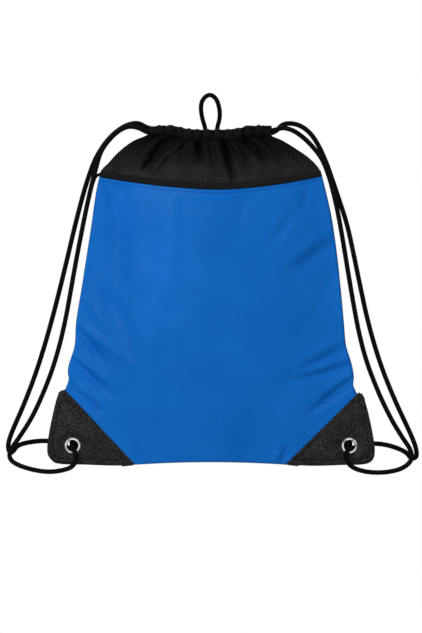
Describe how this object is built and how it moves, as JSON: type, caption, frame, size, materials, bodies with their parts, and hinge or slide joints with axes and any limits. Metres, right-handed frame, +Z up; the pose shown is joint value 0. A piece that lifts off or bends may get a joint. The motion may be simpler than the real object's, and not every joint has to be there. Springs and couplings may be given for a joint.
{
  "type": "drawstring backpack",
  "caption": "Flat cloth backpack gathered shut at the top on two drawcords that serve as shoulder straps and run to eyelets in the lower corners, with a mesh yoke and a hang loop.",
  "frame": {"origin": "the bearing at the top of the hang loop, plumb over the bag's middle", "axes": "+Z up as the bag hangs, +X to the right seen from the front, the front faces -Y"},
  "size_m": [0.452, 0.0524, 0.4153],
  "materials": {
    "blue_fabric": "satin woven polyester",
    "mesh": "open knitted polyester mesh",
    "binding": "plain woven tape",
    "vinyl": "pebble-grained imitation leather",
    "eyelet": "polished nickel plate",
    "cord": "braided polyester cord"
  },
  "bodies": {
    "bag": {"front_panel": "blue_fabric", "back_panel": "blue_fabric", "front_binding": "binding", "back_binding": "binding", "front_left_corner_patch": "vinyl", "front_right_corner_patch": "vinyl", "back_left_corner_patch": "vinyl", "back_right_corner_patch": "vinyl", "left_grommet": "eyelet", "right_grommet": "eyelet", "left_grommet_washer": "eyelet", "right_grommet_washer": "eyelet"},
    "front_lip": {"front_yoke": "mesh", "front_tunnel": "mesh", "left_cord_front_run": "cord", "right_cord_front_run": "cord"},
    "back_lip": {"back_yoke": "mesh", "back_tunnel": "mesh", "left_cord_back_run": "cord", "right_cord_back_run": "cord"},
    "left_strap": {"left_strap_cord": "cord"},
    "right_strap": {"right_strap_cord": "cord"},
    "loop": {"hang_loop": "cord"}
  },
  "joints": [
    {"name": "front_mouth", "type": "hinge", "parent": "bag", "child": "front_lip", "pos_m": [0, -0.0215, -0.0952], "axis": [1, 0, 0], "range_deg": [0, 12]},
    {"name": "back_mouth", "type": "hinge", "parent": "bag", "child": "back_lip", "pos_m": [0, 0.0215, -0.0952], "axis": [1, 0, 0], "range_deg": [-12, 0]},
    {"name": "left_strap_swing", "type": "hinge", "parent": "bag", "child": "left_strap", "pos_m": [-0.1512, 0, -0.3825], "axis": [0.2315, 0, 0.9728], "range_deg": [-20, 12]},
    {"name": "right_strap_swing", "type": "hinge", "parent": "bag", "child": "right_strap", "pos_m": [0.1512, 0, -0.3825], "axis": [0.2315, 0, -0.9728], "range_deg": [-20, 12]},
    {"name": "hang_loop_swing", "type": "hinge", "parent": "back_lip", "child": "loop", "pos_m": [0, 0.016, -0.0329], "axis": [1, 0, 0], "range_deg": [-120, 45]}
  ],
  "couplings": [
    {"joint": "back_mouth", "follows": "front_mouth", "ratio": -1}
  ]
}
